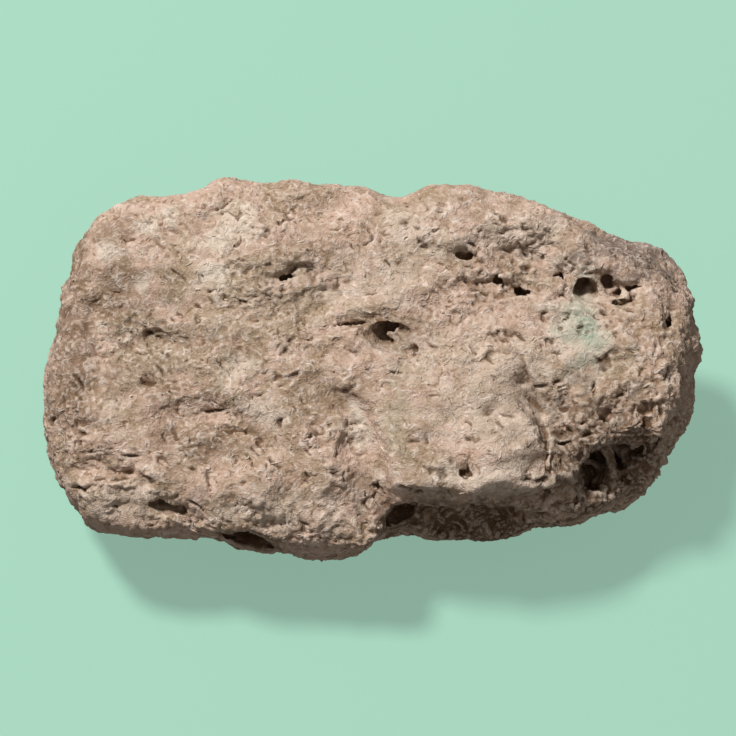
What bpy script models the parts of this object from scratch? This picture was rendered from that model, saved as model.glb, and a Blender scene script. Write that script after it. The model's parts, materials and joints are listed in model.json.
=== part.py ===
"""Pumice stone: one lump of frothy, stringy volcanic glass, lying on its worn flat side.

Run it with blender --background --python part.py, or from Blender's text editor. World units are metres,
+X along the stone and +Z up, and the origin is under the middle of the stone, on the ground.

The shape is drawn on a leaning plane, that of the stone's broad upper face, in millimetres:
u runs along the stone (world +X), v runs up the face and w stands out of it, up and to the front.
"""

import math

import bmesh
import bpy
from mathutils import Matrix, Vector, noise
from mathutils.bvhtree import BVHTree

MM = 0.001

# Driving dimensions, in millimetres and degrees.
FACE_LEAN = 30.0  # the face plane, from level, sloping down to the front
GIRDLE_HEIGHT = 28.0  # the middle of the face plane above the ground
FACE_RISE = 17.0  # the broad face stands this far out of the face plane, at the middle
FACE_FALL = 0.25  # and this much less for each millimetre up the face, so it lies nearer to level
FRONT_FALL = 9.0  # and this much less at the front of its left half
END_FALL = 5.0  # and this much less at the stone's two ends
BACK_BELLY = 6.0  # the back wall bulges this far at half height
WALL_SMOOTHING = 5  # the girdle's points on each side that a ring at the ground is blended with
GRAIN = 1.6  # the size of the facets that the body is carved at
FINE_GRAIN = 1.0  # and that it is closed up again at, before it is thinned out
LAYER = 1.3  # the thickness of the froth's layers, whose ends show as low ledges
HOLLOW_LEAN = 24.0  # the hollows go in this far from square, rising under their upper lips
FACETS = 9300  # the finished stone's triangles

# The wall's rings below the girdle: (share of the girdle's height above the ground, share of its size).
WALL = [(-0.12, 0.56), (0.0, 0.7), (0.18, 0.83), (0.55, 0.945)]

# The girdle: the stone's widest line, seen square to its face, as (u, v, how far in the face's edge lies).
GIRDLE = [
    (-75.0, -4.0, 6), (-74.0, 1.5, 6), (-72.0, 8.0, 6), (-71.0, 15.5, 6), (-69.0, 22.0, 6),
    (-66.0, 29.0, 6), (-62.0, 34.0, 6), (-56.0, 38.0, 5), (-48.0, 39.5, 5), (-38.5, 40.5, 4),
    (-36.0, 43.5, 4), (-30.0, 43.5, 5), (-25.0, 42.5, 5), (-18.0, 43.0, 5), (-6.0, 42.0, 5),
    (-0.5, 40.0, 5), (3.0, 38.5, 5), (9.5, 39.0, 5), (12.5, 41.5, 5), (17.5, 42.0, 6),
    (27.0, 40.5, 6), (37.5, 37.5, 6), (50.0, 34.0, 8), (57.0, 31.0, 9), (65.0, 28.5, 10),
    (69.5, 26.5, 10), (72.5, 20.5, 10), (74.5, 14.0, 9), (75.0, 4.0, 9), (74.0, -7.5, 10),
    (72.5, -14.0, 12), (68.0, -19.5, 13), (64.0, -27.0, 14), (58.0, -32.0, 14), (50.0, -34.5, 13),
    (44.5, -36.0, 12), (39.5, -35.5, 11), (34.0, -37.5, 11), (30.0, -39.5, 11), (14.0, -39.5, 11),
    (10.0, -38.0, 8), (5.5, -36.5, 6), (1.5, -39.5, 4), (-3.0, -43.0, 4), (-18.5, -43.0, 4),
    (-30.0, -41.0, 3), (-37.0, -38.5, 3), (-61.0, -37.5, 4), (-66.5, -33.5, 6), (-71.0, -26.5, 6),
    (-74.0, -19.0, 6), (-75.0, -11.5, 6),
]

# Swells and dips of the broad face: (u, v, radius, height).
SWELLS = [
    (30, -10, 28, 2.6), (-22, 28, 18, 1.8), (20, 31, 15, 1.6), (60, 4, 14, 1.4), (-55, -20, 16, 1.6),
    (-28, -31, 14, 2.6), (-7, -14, 4, 1.8), (-52, 10, 20, -1.8), (-10, 13, 15, -1.2), (36, 21, 15, -2.0),
    (-12, -36, 8, 1.6), (-68, 0, 12, 1.2), (55, -27, 17, -6.0), (43, -23, 3.6, 2.6), (46.5, -17.5, 4, 2.6),
    (51.5, -14.5, 3.8, 2.4), (57.5, -13.5, 4, 2.4), (63.5, -15, 4, 2.2), (43.5, -31, 4.4, 3.0),
    (49.5, -32, 4, 2.8), (56, -31.5, 4.2, 3.0), (61.5, -27.5, 4, 2.8), (66, -21, 4, 2.4),
]

# Steps of the face, where one layer of froth ends over another. The ground on a line's right drops by
# the depth and comes back up over the reach: (depth, reach, points of the line).
STEPS = [
    (4.4, 12, [(-12, 2), (-7, -5), (-1, -8), (0, -14), (2.5, -19), (4.5, -27), (6, -40)]),
    (3.0, 10, [(-16, -28), (-21, -21), (-27, -16), (-34, -13.5), (-42, -15), (-50, -21)]),
    (5.0, 13, [(39, -42), (40, -28), (39.5, -19), (36, -11), (30, -3)]),
    (6.5, 15, [(-2, -30), (4, -27.5), (12, -27), (22, -27.6), (32, -26.6), (40, -27), (46, -29)]),
    (2.4, 8, [(-46, -25), (-56, -23), (-66, -25), (-78, -24)]),
    (2.0, 9, [(4, 38), (-10, 34), (-22, 33), (-32, 36), (-42, 44)]),
    (4.4, 13, [(82, 9), (73, 15), (67, 20.5), (61, 24), (52, 30), (44, 35), (36, 40)]),
    (1.6, 7, [(-60, 6), (-50, 8), (-40, 7), (-30, 11)]),
    (1.6, 7, [(14, 10), (24, 6), (34, 8), (44, 4)]),
    (1.4, 8, [(8, 29), (18, 27), (28, 28.5), (38, 28), (48, 25)]),
]

# Hollows, each an uneven egg sunk in the face: (u, v, turn in degrees, half length, half width, depth).
HOLLOWS = [
    (3.2, 8.0, -12, 6.0, 2.9, 8.0),
    (7.8, 6.6, -22, 3.4, 2.0, 4.0),
    (-6.4, 9.9, 6, 4.4, 1.2, 2.6),
    (52.0, 16.6, -14, 8.6, 3.4, 5.0),
    (47.6, 17.2, -16, 3.6, 2.7, 9.0),
    (53.0, 18.6, -8, 2.8, 1.9, 8.0),
    (55.8, 14.2, 10, 4.4, 1.7, 7.0),
    (58.6, 17.4, 14, 4.0, 1.3, 5.0),
    (23.0, 25.0, -10, 5.0, 1.6, 1.6),
    (21.4, 24.8, -14, 3.0, 1.1, 4.0),
    (31.0, 18.6, -16, 7.0, 3.0, 1.6),
    (28.4, 18.0, -68, 3.4, 1.5, 4.4),
    (34.0, 17.0, -12, 3.0, 1.4, 4.6),
    (34.6, 21.8, 14, 3.8, 1.6, 3.4),
    (35.0, 26.0, -42, 3.4, 1.2, 2.8),
    (42.6, 20.6, -50, 2.4, 1.5, 4.4),
    (-43.6, -31.0, -12, 6.0, 1.9, 7.0),
    (-28.0, -39.0, -6, 8.0, 3.0, 7.0),
    (-49.5, -3.0, 4, 4.0, 1.5, 2.8),
    (-48.5, 5.0, -14, 4.4, 1.3, 2.4),
    (-65.0, -4.5, -50, 3.2, 1.3, 2.8),
    (-18.6, 20.4, 32, 3.4, 1.6, 3.2),
    (54.0, -22.4, 8, 9.0, 5.6, 8.0),
    (49.0, -23.2, 70, 5.6, 3.4, 11.0),
    (56.6, -21.8, 10, 3.8, 3.2, 13.0),
    (62.0, -18.6, 24, 4.4, 2.4, 7.0),
    (46.0, -35.5, 12, 4.6, 1.8, 6.0),
    (42.6, -14.6, 20, 3.2, 1.7, 4.0),
    (51.8, -9.6, -40, 3.4, 1.6, 3.6),
    (60.6, -9.8, -15, 3.4, 1.6, 3.6),
    (43.0, -8.2, -20, 3.4, 1.4, 3.0),
    (9.0, -33.6, 6, 8.0, 3.4, 9.0),
    (24.0, -33.0, -4, 10.0, 2.4, 5.0),
    (66.6, 10.0, 66, 3.2, 1.5, 3.6),
    (20.2, -22.6, -6, 2.8, 1.2, 2.6),
    (-55.5, 29.5, 14, 3.4, 1.3, 3.0),
]

# Hollows in the walls: (the side they are seen from, in degrees round from the front; how far across and
# how high there; turn; half length, half height and depth).
WALL_HOLLOWS = [
    (180, -46, 32, 8, 5.0, 2.2, 5.0), (180, -20, 38, -10, 3.4, 1.8, 5.0), (180, -8, 24, 4, 6.0, 2.6, 6.0),
    (180, 14, 34, 12, 4.0, 2.0, 5.0), (180, 34, 22, -6, 5.0, 2.4, 5.0), (180, 48, 38, 0, 3.0, 1.8, 4.0),
    (180, -32, 16, 14, 4.0, 2.0, 5.0), (180, 22, 14, -12, 3.0, 2.0, 4.0), (90, -14, 26, 10, 4.2, 2.2, 5.0),
    (90, 10, 34, -14, 3.2, 1.8, 4.0), (90, 18, 18, 0, 4.0, 2.0, 5.0), (270, 8, 24, 12, 4.6, 2.4, 5.0),
    (270, -14, 34, -8, 3.0, 1.8, 4.0), (270, -4, 12, 0, 4.0, 1.8, 4.0), (0, -52, 16, 6, 5.0, 2.0, 5.0),
    (0, -20, 12, -8, 4.4, 2.0, 5.0), (0, 52, 14, 12, 4.0, 2.2, 5.0),
]

# Scoops broken out of the walls and the underside, in world millimetres: (centre, half sizes, turn about z).
SCOOPS = [
    ((23.0, -42.0, 21.0), (19.0, 13.5, 7.0), 0),
    ((38.0, -43.0, 8.0), (9.0, 10.0, 5.0), 10),
    ((-34.0, 52.0, 24.0), (24.0, 12.0, 12.0), 8),
    ((24.0, 52.0, 36.0), (18.0, 12.0, 8.0), -14),
    ((48.0, 45.0, 12.0), (20.0, 14.0, 10.0), -24),
    ((2.0, 52.0, 8.0), (13.0, 10.0, 8.0), 10),
    ((-83.0, 12.0, 14.0), (16.0, 17.0, 9.0), 10),
    ((-75.0, -24.0, 2.0), (14.0, 14.0, 7.0), -25),
    ((84.0, 8.0, 13.0), (15.0, 18.0, 8.0), 5),
    ((-26.0, -44.0, 4.0), (24.0, 11.0, 5.0), 4),
    ((-40.0, 6.0, -4.0), (17.0, 11.0, 7.0), 20),
    ((40.0, 10.0, -5.0), (14.0, 10.0, 8.0), -30),
]


def face_point(u, v, w):
    """The world point of a place given on the leaning plane, in millimetres."""
    lean = math.radians(FACE_LEAN)
    y = v * math.cos(lean) - w * math.sin(lean)
    z = v * math.sin(lean) + w * math.cos(lean) + GIRDLE_HEIGHT
    return Vector((u, y, z)) * MM


def face_place(point):
    """The place on the leaning plane, in millimetres, of a world point."""
    lean = math.radians(FACE_LEAN)
    x, y, z = point / MM
    z -= GIRDLE_HEIGHT
    return x, y * math.cos(lean) + z * math.sin(lean), z * math.cos(lean) - y * math.sin(lean)


FACE_NORMAL = (face_point(0, 0, 1) - face_point(0, 0, 0)).normalized()


def face_rise(u, v):
    """How far the broad face stands out of its plane, in millimetres, before it is worn."""
    left = min(1.0, max(0.0, 0.5 - u / 10))
    return (
        FACE_RISE - FACE_FALL * v - END_FALL * abs(u / 75) ** 3
        - FRONT_FALL * left * max(0.0, (-16 - v) / 24) ** 2
    )


def smooth_loop(points, steps):
    """A closed Catmull-Rom curve through the points, with this many steps between each two."""
    found = []
    count = len(points)
    for i in range(count):
        p0, p1, p2, p3 = (Vector(points[(i + k) % count]) for k in (-1, 0, 1, 2))
        for step in range(steps):
            t = step / steps
            found.append(
                0.5 * (2 * p1 + (p2 - p0) * t + (2 * p0 - 5 * p1 + 4 * p2 - p3) * t**2
                       + (3 * p1 - p0 - 3 * p2 + p3) * t**3)
            )
    return found


def wall_ring(girdle, height, size):
    """A ring below the girdle, at this share of the girdle's own height. The back bulges at half height.

    The girdle's nicks are smoothed away downward, by blending each point with those some way along.
    """
    ring = []
    count = len(girdle)
    reach = round(WALL_SMOOTHING * (1 - height))
    for i in range(count):
        near = [girdle[(i + k) % count] for k in range(-reach, reach + 1)]
        u, v = (sum(item[axis] for item in near) / len(near) for axis in (0, 1))
        point = face_point(u, v, 0)
        belly = BACK_BELLY * MM * max(0.0, v / 43) * math.sin(math.pi * min(1, max(0, height)))
        ring.append(Vector((point.x * size, point.y * size + belly, point.z * height)))
    return ring


def face_ring(girdle, inset, rise):
    """A ring above the girdle, this share of the way in to the face's edge and of the way up to the face."""
    ring = []
    for u, v, band in girdle:
        size = 1 - inset * band / math.hypot(u, v)
        ring.append(face_point(u * size, v * size, face_rise(u * size, v * size) * rise))
    return ring


def add_loop(mesh, points):
    """A closed ring of edges through the points."""
    verts = [mesh.verts.new(p) for p in points]
    return [mesh.edges.new((a, b)) for a, b in zip(verts, verts[1:] + verts[:1])]


def stone_body(material):
    """The stone as rings bridged from the ground up to the girdle, over the face's rounded edge and in."""
    girdle = smooth_loop(GIRDLE, 2)
    rings = [wall_ring(girdle, *level) for level in WALL]
    rings += [face_ring(girdle, *level) for level in ((0.0, 0.0), (0.22, 0.45), (0.6, 0.85), (1.0, 1.0))]
    for size in (0.6, 0.25):
        inner = [(u * size, v * size) for u, v, _ in girdle]
        rings.append([face_point(u, v, face_rise(u, v)) for u, v in inner])
    mesh = bmesh.new()
    loops = [add_loop(mesh, ring) for ring in rings]
    for lower, upper in zip(loops, loops[1:]):
        bmesh.ops.bridge_loops(mesh, edges=lower + upper)
    for end in (loops[0], loops[-1]):
        bmesh.ops.contextual_create(mesh, geom=end)
    bmesh.ops.recalc_face_normals(mesh, faces=mesh.faces)
    data = bpy.data.meshes.new("pumice_stone")
    mesh.to_mesh(data)
    mesh.free()
    stone = bpy.data.objects.new("pumice_stone", data)
    bpy.context.scene.collection.objects.link(stone)
    data.materials.append(material)
    return stone


def apply_modifiers(stone):
    """Makes the stone's mesh what its modifiers leave of it."""
    bpy.context.view_layer.update()
    graph = bpy.context.evaluated_depsgraph_get()
    made = bpy.data.meshes.new_from_object(stone.evaluated_get(graph))
    stone.modifiers.clear()
    stone.data = made


def remesh(stone, size):
    """Gives the stone an even skin of facets of this size, in millimetres."""
    even = stone.modifiers.new("even", "REMESH")
    even.mode = "VOXEL"
    even.voxel_size = size * MM
    apply_modifiers(stone)


def falloff(share):
    """1 at the middle, 0 at the edge, smooth at both."""
    share = min(1.0, max(0.0, share))
    return (1 - share * share) ** 2


def step_drop(u, v, reach, line):
    """How much of a step's drop a place has, from 0 to 1: none on the line's left, all just on its right."""
    nearest, right, start, at = float("inf"), 0.0, 0.0, 0.0
    for (au, av), (bu, bv) in zip(line, line[1:]):
        length = math.hypot(bu - au, bv - av)
        du, dv = (bu - au) / length, (bv - av) / length
        along = min(length, max(0.0, (u - au) * du + (v - av) * dv))
        gap_u, gap_v = u - au - along * du, v - av - along * dv
        gap = math.hypot(gap_u, gap_v)
        if gap < nearest:
            nearest, at = gap, start + along
            right = min(1.0, max(0.0, 0.5 + (gap_u * dv - gap_v * du) / 1.6))
        start += length
    ends = min(1.0, at / 9, (start - at) / 9)
    return right * ends * falloff(nearest / reach)


def layered(level):
    """The level in stairs: flat for most of every whole step, then up to the next within a quarter of it."""
    whole = math.floor(level)
    return whole + 0.375 + max(0.0, 4 * (level - whole) - 3)


def wear(stone):
    """Moves the facets of the broad face for its swells and steps, and roughens the whole stone."""
    normals = [vert.normal.copy() for vert in stone.data.vertices]
    for vert, normal in zip(stone.data.vertices, normals):
        u, v, w = face_place(vert.co)
        facing = min(1.0, max(0.0, 2.5 * normal.dot(FACE_NORMAL) - 0.4)) * (w > 0)
        stray_u = noise.noise(Vector((u / 8, v / 8, 40)))
        stray_v = noise.noise(Vector((u / 8, v / 8, 80)))
        rise = 0.0
        for at_u, at_v, radius, height in SWELLS:
            rise += height * falloff(math.hypot(u - at_u, v - at_v) / radius)
        for depth, reach, line in STEPS:
            rise -= depth * step_drop(u + 2.2 * stray_u, v + 2.2 * stray_v, reach, line)
        hidden = 1 - min(1.0, max(0.0, (w + 12) / 10))
        level = 3.4 * noise.noise(Vector((u / 32 + stray_u / 4, v / 16 + stray_v / 4, w / 14)))
        rough = LAYER * (1 + hidden) * (layered(level) - level)
        rough += (0.5 + 2.6 * hidden) * noise.noise(Vector((u / 26 + 3, v / 19, w / 19)))
        rough += (0.8 + 1.0 * hidden) * noise.noise(Vector((u / 12, v / 7.5, w / 6)))
        rough += 0.8 * noise.noise(Vector((u / 6.5, v / 3.8, w / 3.4)))
        rough += 1.1 * (1 - facing) * noise.noise(Vector((u / 15, v / 11, w / 2.7)))
        vert.co += MM * (rise * facing * FACE_NORMAL + rough * normal)


def uneven_egg(name, matrix, seed):
    """A cutter: a ball of half size 1 whose surface wanders and whose ends are drawn out, under the matrix."""
    mesh = bmesh.new()
    bmesh.ops.create_icosphere(mesh, subdivisions=3, radius=1.0)
    for vert in mesh.verts:
        size = 1 + 0.36 * noise.noise(vert.co * 1.9 + Vector((seed, 2 * seed, 0)))
        thin = size * (1 - 0.4 * vert.co.x**2)
        vert.co = Vector((vert.co.x * size, vert.co.y * thin, vert.co.z * thin))
    mesh.transform(matrix)
    data = bpy.data.meshes.new(name)
    mesh.to_mesh(data)
    mesh.free()
    return bpy.data.objects.new(name, data)


def hollow_matrix(skin, side, hollow):
    """Where a hollow's egg goes: its middle on the skin, as met coming straight in on that side of the stone.

    The side is a matrix: its own z is the way out of the stone, and the hollow is placed in its x and y.
    """
    across, up, turn, half_length, half_width, depth = hollow
    outward = side.to_3x3() @ Vector((0, 0, 1))
    hit = skin.ray_cast(side @ Vector((across * MM, up * MM, 0.15)), -outward)[0]
    spin = Matrix.Rotation(math.radians(HOLLOW_LEAN), 4, "X") @ Matrix.Rotation(math.radians(turn), 4, "Z")
    sizes = Matrix.Diagonal((half_length * MM, half_width * MM, depth * MM, 1))
    return Matrix.Translation(hit) @ side.to_3x3().to_4x4() @ spin @ sizes


def wall_side(azimuth):
    """The side of the stone at this many degrees round from its front."""
    return Matrix.Rotation(math.radians(azimuth), 4, "Z") @ Matrix.Rotation(math.radians(90), 4, "X")


def scoop_matrix(scoop):
    centre, halves, turn = scoop
    sizes = Matrix.Diagonal([half * MM for half in halves] + [1])
    return Matrix.Translation(Vector(centre) * MM) @ Matrix.Rotation(math.radians(turn), 4, "Z") @ sizes


def subtract(stone, cutters):
    """Takes the cutters out of the stone, and then out of the file."""
    eggs = bpy.data.collections.new("cutters")
    bpy.context.scene.collection.children.link(eggs)
    for cutter in cutters:
        cutter.hide_render = True
        cutter.display_type = "WIRE"
        eggs.objects.link(cutter)
    cut = stone.modifiers.new("cut", "BOOLEAN")
    cut.operation = "DIFFERENCE"
    cut.solver = "EXACT"
    cut.operand_type = "COLLECTION"
    cut.collection = eggs
    apply_modifiers(stone)
    for cutter in cutters:
        bpy.data.objects.remove(cutter)
    bpy.data.collections.remove(eggs)


def ground():
    """A cutter: all that lies below the ground."""
    mesh = bmesh.new()
    bmesh.ops.create_cube(mesh, size=1.0)
    mesh.transform(Matrix.Translation((0, 0, -0.05)) @ Matrix.Diagonal((0.3, 0.3, 0.1, 1)))
    data = bpy.data.meshes.new("ground")
    mesh.to_mesh(data)
    mesh.free()
    return bpy.data.objects.new("ground", data)


def carve(stone):
    """Cuts the hollows and the scoops out of the stone."""
    skin = BVHTree.FromObject(stone, bpy.context.evaluated_depsgraph_get())
    lean = Matrix.Rotation(math.radians(FACE_LEAN), 4, "X")
    face_side = Matrix.Translation((0, 0, GIRDLE_HEIGHT * MM)) @ lean
    matrices = [hollow_matrix(skin, face_side, hollow) for hollow in HOLLOWS]
    matrices += [hollow_matrix(skin, wall_side(azimuth), hollow) for azimuth, *hollow in WALL_HOLLOWS]
    matrices += [scoop_matrix(scoop) for scoop in SCOOPS]
    subtract(stone, [uneven_egg(f"egg_{number}", matrix, number) for number, matrix in enumerate(matrices)])


def thin_out(stone, facets):
    """Merges facets where the surface is nearly flat, down to this many triangles."""
    triangles = sum(len(polygon.vertices) - 2 for polygon in stone.data.polygons)
    thin = stone.modifiers.new("thin", "DECIMATE")
    thin.ratio = facets / triangles
    apply_modifiers(stone)


def settle(stone):
    """Brings every corner that lies within half a millimetre of the ground exactly to it."""
    for vert in stone.data.vertices:
        if vert.co.z < 0.5 * MM:
            vert.co.z = 0.0


def centre(stone):
    """Puts the middle of the stone's box over the origin."""
    xs = [vert.co.x for vert in stone.data.vertices]
    ys = [vert.co.y for vert in stone.data.vertices]
    middle = Vector((max(xs) + min(xs), max(ys) + min(ys), 0)) / 2
    stone.data.transform(Matrix.Translation(-middle))


def pumice_material():
    """Dull, porous volcanic glass, pinkish tan."""
    material = bpy.data.materials.new("pumice")
    material.use_nodes = True
    shader = material.node_tree.nodes["Principled BSDF"]
    shader.inputs["Base Color"].default_value = (0.45, 0.31, 0.23, 1)
    shader.inputs["Roughness"].default_value = 0.95
    shader.inputs["Metallic"].default_value = 0.0
    return material


def main():
    for obj in list(bpy.data.objects):
        bpy.data.objects.remove(obj)
    stone = stone_body(pumice_material())
    remesh(stone, GRAIN)
    wear(stone)
    carve(stone)
    remesh(stone, FINE_GRAIN)
    subtract(stone, [ground()])
    thin_out(stone, FACETS)
    settle(stone)
    centre(stone)
    stone.data.shade_smooth()
    stone.data.set_sharp_from_angle(angle=math.radians(50))


main()
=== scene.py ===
"""The looks of the pumice stone: its stringy, torn skin, its colours, and the plain studio it lies in.

Lengths in the tables and in the working arrays are in millimetres. Finished meshes are in metres.
"""

import json
import math

import bpy
import numpy as np
from mathutils import Matrix, Vector
from mathutils.bvhtree import BVHTree

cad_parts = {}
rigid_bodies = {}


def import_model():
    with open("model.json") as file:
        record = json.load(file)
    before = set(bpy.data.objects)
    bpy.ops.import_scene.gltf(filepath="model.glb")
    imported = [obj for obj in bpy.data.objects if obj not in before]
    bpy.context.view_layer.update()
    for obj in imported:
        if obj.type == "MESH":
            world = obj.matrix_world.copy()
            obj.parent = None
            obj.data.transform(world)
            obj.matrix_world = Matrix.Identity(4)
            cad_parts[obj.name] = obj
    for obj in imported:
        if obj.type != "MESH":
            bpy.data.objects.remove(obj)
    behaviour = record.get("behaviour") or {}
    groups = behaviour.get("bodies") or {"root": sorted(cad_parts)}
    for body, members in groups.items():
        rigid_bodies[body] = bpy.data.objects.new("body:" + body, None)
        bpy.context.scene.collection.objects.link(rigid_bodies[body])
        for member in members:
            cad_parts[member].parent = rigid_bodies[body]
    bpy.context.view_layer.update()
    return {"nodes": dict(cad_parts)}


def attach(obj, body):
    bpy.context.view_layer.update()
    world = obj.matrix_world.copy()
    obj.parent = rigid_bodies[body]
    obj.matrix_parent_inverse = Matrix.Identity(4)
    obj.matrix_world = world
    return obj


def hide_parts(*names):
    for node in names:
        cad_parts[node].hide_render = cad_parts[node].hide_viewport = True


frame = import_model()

MM = 0.001

# The stone's broad face leans 30 degrees to the front. On its plane u runs along the stone, v up the face and
# w out of it. This is where that plane's middle lies in the row frame.
LEAN = math.radians(30)
PLANE_MIDDLE = Vector((-0.336, 0.972, 28.0))
PLANE = Matrix.Translation(PLANE_MIDDLE) @ Matrix.Rotation(LEAN, 4, "X")
FACE_AXES = np.array(PLANE.to_3x3())  # its columns are the plane's u, v and w in the row frame
FACE_OUT = Vector(FACE_AXES[:, 2])
ABOVE = 60  # lines looking for the skin start this far out of the plane

BODY_GRAIN = 0.8  # the even quads that the solid's facets are rounded off at
SKIN_GRAIN = 0.45  # the even quads that the skin is worn at
SKIN_TRIANGLES = 196000  # what the worn skin is thinned out to
RISE_LIMIT = 0.9  # the froth rises no higher than this, so that the skin keeps to the solid's box
FOOT = 3.0  # below this height the skin is worn less and less, down to the flat that it lies on
STRINGS = 800
PLUG_HEIGHT = 3.0  # a plug's half height
PLUG_SINK = 2.8  # how far its middle lies below the rim that it fills up to
CAVITY_LEAN = math.radians(26)
LEDGE_WALL = 0.9  # a ledge drops from its edge to its low side within this
PATCH_REACH = 12  # a patch of the broad face fades out at about this far below the plane
SHELTER_REACH = 14.0  # a wall further off than this doesn't shelter a place

CAMERA_AIM = (-0.7, -0.2, 0)  # the (u, v, w) at the middle of the view
CAMERA_DISTANCE = 0.4668  # in metres, so that the stone fills nine tenths of the view

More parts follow.
